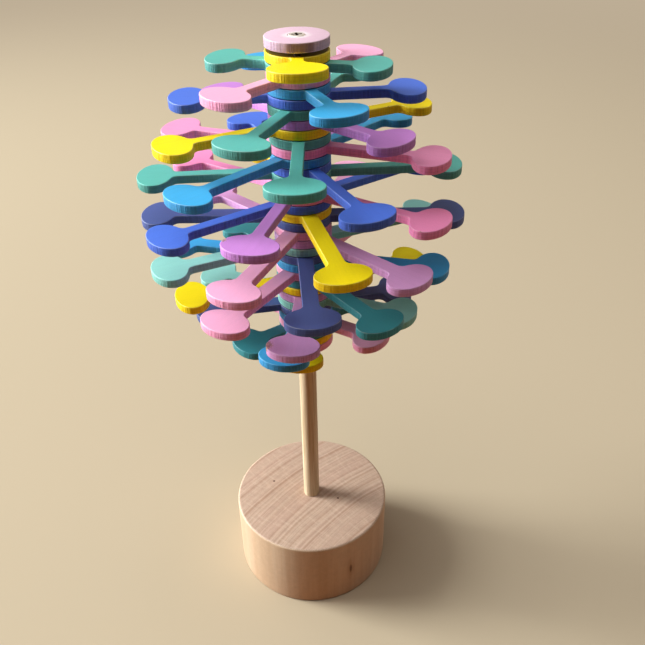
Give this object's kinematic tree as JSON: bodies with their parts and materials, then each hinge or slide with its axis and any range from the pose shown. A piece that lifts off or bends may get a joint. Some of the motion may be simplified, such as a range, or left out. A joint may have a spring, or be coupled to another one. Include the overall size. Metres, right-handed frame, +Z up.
{
  "type": "turning arm tower toy",
  "caption": "Wooden desk toy: a stack of painted two-ended arms turns on a dowel in a round foot, each held to part of a circle by a peg in its neighbour's slot.",
  "frame": {"origin": "centre of the round foot's underside, on the dowel's axis", "axes": "+Z up along the dowel, -Y towards the front as pictured, +X to the right"},
  "size_m": [0.101, 0.0982, 0.2103],
  "materials": {
    "paint_yellow": "painted wood, satin",
    "paint_teal": "painted wood, satin",
    "paint_sea_green": "painted wood, satin",
    "paint_mint": "painted wood, satin",
    "paint_pink": "painted wood, satin",
    "paint_rose": "painted wood, satin",
    "paint_sky": "painted wood, satin",
    "paint_royal": "painted wood, satin",
    "paint_indigo": "painted wood, satin",
    "paint_violet": "painted wood, satin",
    "paint_mauve": "painted wood, satin",
    "beech": "bare sanded beech",
    "birch": "bare birch dowel",
    "screw_steel": "plated screw"
  },
  "bodies": {
    "stand": {"base_block": "beech", "dowel": "birch", "foot_disc": "paint_pink", "cap_screw": "screw_steel"},
    "arm_01": {"arm_01": "paint_yellow"},
    "arm_02": {"arm_02": "paint_teal"},
    "arm_03": {"arm_03": "paint_pink"},
    "arm_04": {"arm_04": "paint_sky"},
    "arm_05": {"arm_05": "paint_indigo"},
    "arm_06": {"arm_06": "paint_mint"},
    "arm_07": {"arm_07": "paint_mauve"},
    "arm_08": {"arm_08": "paint_yellow"},
    "arm_09": {"arm_09": "paint_teal"},
    "arm_10": {"arm_10": "paint_pink"},
    "arm_11": {"arm_11": "paint_sky"},
    "arm_12": {"arm_12": "paint_indigo"},
    "arm_13": {"arm_13": "paint_mint"},
    "arm_14": {"arm_14": "paint_mauve"},
    "arm_15": {"arm_15": "paint_pink"},
    "arm_16": {"arm_16": "paint_indigo"},
    "arm_17": {"arm_17": "paint_yellow"},
    "arm_18": {"arm_18": "paint_royal"},
    "arm_19": {"arm_19": "paint_rose"},
    "arm_20": {"arm_20": "paint_violet"},
    "arm_21": {"arm_21": "paint_sea_green"},
    "arm_22": {"arm_22": "paint_royal"},
    "arm_23": {"arm_23": "paint_sky"},
    "arm_24": {"arm_24": "paint_pink"},
    "arm_25": {"arm_25": "paint_sea_green"},
    "arm_26": {"arm_26": "paint_yellow"},
    "arm_27": {"arm_27": "paint_violet"},
    "arm_28": {"arm_28": "paint_sea_green"},
    "arm_29": {"arm_29": "paint_royal"},
    "arm_30": {"arm_30": "paint_sky"},
    "arm_31": {"arm_31": "paint_pink"},
    "arm_32": {"arm_32": "paint_sea_green"},
    "arm_33": {"arm_33": "paint_yellow"},
    "cap": {"cap": "paint_pink"}
  },
  "joints": [
    {"name": "arm_01_turn", "type": "hinge", "parent": "stand", "child": "arm_01", "pos_m": [0, 0, 0.11061], "axis": [0, 0, 1], "range_deg": [-12.2, 57.8]},
    {"name": "arm_02_turn", "type": "hinge", "parent": "arm_01", "child": "arm_02", "pos_m": [0, 0, 0.11352], "axis": [0, 0, 1], "range_deg": [-31, 39]},
    {"name": "arm_03_turn", "type": "hinge", "parent": "arm_02", "child": "arm_03", "pos_m": [0, 0, 0.11643], "axis": [0, 0, 1], "range_deg": [-13.8, 56.2]},
    {"name": "arm_04_turn", "type": "hinge", "parent": "arm_03", "child": "arm_04", "pos_m": [0, 0, 0.11934], "axis": [0, 0, 1], "range_deg": [-9.5, 60.5]},
    {"name": "arm_05_turn", "type": "hinge", "parent": "arm_04", "child": "arm_05", "pos_m": [0, 0, 0.12225], "axis": [0, 0, 1], "range_deg": [-12.9, 57.1]},
    {"name": "arm_06_turn", "type": "hinge", "parent": "arm_05", "child": "arm_06", "pos_m": [0, 0, 0.12516], "axis": [0, 0, 1], "range_deg": [-46.7, 23.3]},
    {"name": "arm_07_turn", "type": "hinge", "parent": "arm_06", "child": "arm_07", "pos_m": [0, 0, 0.12807], "axis": [0, 0, 1], "range_deg": [-8.2, 61.8]},
    {"name": "arm_08_turn", "type": "hinge", "parent": "arm_07", "child": "arm_08", "pos_m": [0, 0, 0.13098], "axis": [0, 0, 1], "range_deg": [-11.5, 58.5]},
    {"name": "arm_09_turn", "type": "hinge", "parent": "arm_08", "child": "arm_09", "pos_m": [0, 0, 0.13389], "axis": [0, 0, 1], "range_deg": [-9.3, 60.7]},
    {"name": "arm_10_turn", "type": "hinge", "parent": "arm_09", "child": "arm_10", "pos_m": [0, 0, 0.1368], "axis": [0, 0, 1], "range_deg": [-11.2, 58.8]},
    {"name": "arm_11_turn", "type": "hinge", "parent": "arm_10", "child": "arm_11", "pos_m": [0, 0, 0.13971], "axis": [0, 0, 1], "range_deg": [-9.7, 60.3]},
    {"name": "arm_12_turn", "type": "hinge", "parent": "arm_11", "child": "arm_12", "pos_m": [0, 0, 0.14262], "axis": [0, 0, 1], "range_deg": [-7.5, 62.5]},
    {"name": "arm_13_turn", "type": "hinge", "parent": "arm_12", "child": "arm_13", "pos_m": [0, 0, 0.14553], "axis": [0, 0, 1], "range_deg": [-10.6, 59.4]},
    {"name": "arm_14_turn", "type": "hinge", "parent": "arm_13", "child": "arm_14", "pos_m": [0, 0, 0.14844], "axis": [0, 0, 1], "range_deg": [-10.4, 59.6]},
    {"name": "arm_15_turn", "type": "hinge", "parent": "arm_14", "child": "arm_15", "pos_m": [0, 0, 0.15135], "axis": [0, 0, 1], "range_deg": [-11.2, 58.8]},
    {"name": "arm_16_turn", "type": "hinge", "parent": "arm_15", "child": "arm_16", "pos_m": [0, 0, 0.15426], "axis": [0, 0, 1], "range_deg": [-12.6, 57.4]},
    {"name": "arm_17_turn", "type": "hinge", "parent": "arm_16", "child": "arm_17", "pos_m": [0, 0, 0.15717], "axis": [0, 0, 1], "range_deg": [-5.9, 64.1]},
    {"name": "arm_18_turn", "type": "hinge", "parent": "arm_17", "child": "arm_18", "pos_m": [0, 0, 0.16008], "axis": [0, 0, 1], "range_deg": [-10, 60]},
    {"name": "arm_19_turn", "type": "hinge", "parent": "arm_18", "child": "arm_19", "pos_m": [0, 0, 0.16299], "axis": [0, 0, 1], "range_deg": [-11.6, 58.4]},
    {"name": "arm_20_turn", "type": "hinge", "parent": "arm_19", "child": "arm_20", "pos_m": [0, 0, 0.1659], "axis": [0, 0, 1], "range_deg": [-7, 63]},
    {"name": "arm_21_turn", "type": "hinge", "parent": "arm_20", "child": "arm_21", "pos_m": [0, 0, 0.16881], "axis": [0, 0, 1], "range_deg": [-10.7, 59.3]},
    {"name": "arm_22_turn", "type": "hinge", "parent": "arm_21", "child": "arm_22", "pos_m": [0, 0, 0.17172], "axis": [0, 0, 1], "range_deg": [-11.7, 58.3]},
    {"name": "arm_23_turn", "type": "hinge", "parent": "arm_22", "child": "arm_23", "pos_m": [0, 0, 0.17463], "axis": [0, 0, 1], "range_deg": [-10.1, 59.9]},
    {"name": "arm_24_turn", "type": "hinge", "parent": "arm_23", "child": "arm_24", "pos_m": [0, 0, 0.17754], "axis": [0, 0, 1], "range_deg": [-14.2, 55.8]},
    {"name": "arm_25_turn", "type": "hinge", "parent": "arm_24", "child": "arm_25", "pos_m": [0, 0, 0.18045], "axis": [0, 0, 1], "range_deg": [-8.9, 61.1]},
    {"name": "arm_26_turn", "type": "hinge", "parent": "arm_25", "child": "arm_26", "pos_m": [0, 0, 0.18336], "axis": [0, 0, 1], "range_deg": [-17.2, 52.8]},
    {"name": "arm_27_turn", "type": "hinge", "parent": "arm_26", "child": "arm_27", "pos_m": [0, 0, 0.18627], "axis": [0, 0, 1], "range_deg": [-11.7, 58.3]},
    {"name": "arm_28_turn", "type": "hinge", "parent": "arm_27", "child": "arm_28", "pos_m": [0, 0, 0.18918], "axis": [0, 0, 1], "range_deg": [-8.3, 61.7]},
    {"name": "arm_29_turn", "type": "hinge", "parent": "arm_28", "child": "arm_29", "pos_m": [0, 0, 0.19209], "axis": [0, 0, 1], "range_deg": [-18.7, 51.3]},
    {"name": "arm_30_turn", "type": "hinge", "parent": "arm_29", "child": "arm_30", "pos_m": [0, 0, 0.195], "axis": [0, 0, 1], "range_deg": [-8.3, 61.7]},
    {"name": "arm_31_turn", "type": "hinge", "parent": "arm_30", "child": "arm_31", "pos_m": [0, 0, 0.19791], "axis": [0, 0, 1], "range_deg": [-14.9, 55.1]},
    {"name": "arm_32_turn", "type": "hinge", "parent": "arm_31", "child": "arm_32", "pos_m": [0, 0, 0.20082], "axis": [0, 0, 1], "range_deg": [-18.1, 51.9]},
    {"name": "arm_33_turn", "type": "hinge", "parent": "arm_32", "child": "arm_33", "pos_m": [0, 0, 0.20373], "axis": [0, 0, 1], "range_deg": [-5.2, 64.8]},
    {"name": "cap_turn", "type": "hinge", "parent": "arm_33", "child": "cap", "pos_m": [0, 0, 0.20748], "axis": [0, 0, 1], "range_deg": [-11, 59]}
  ]
}
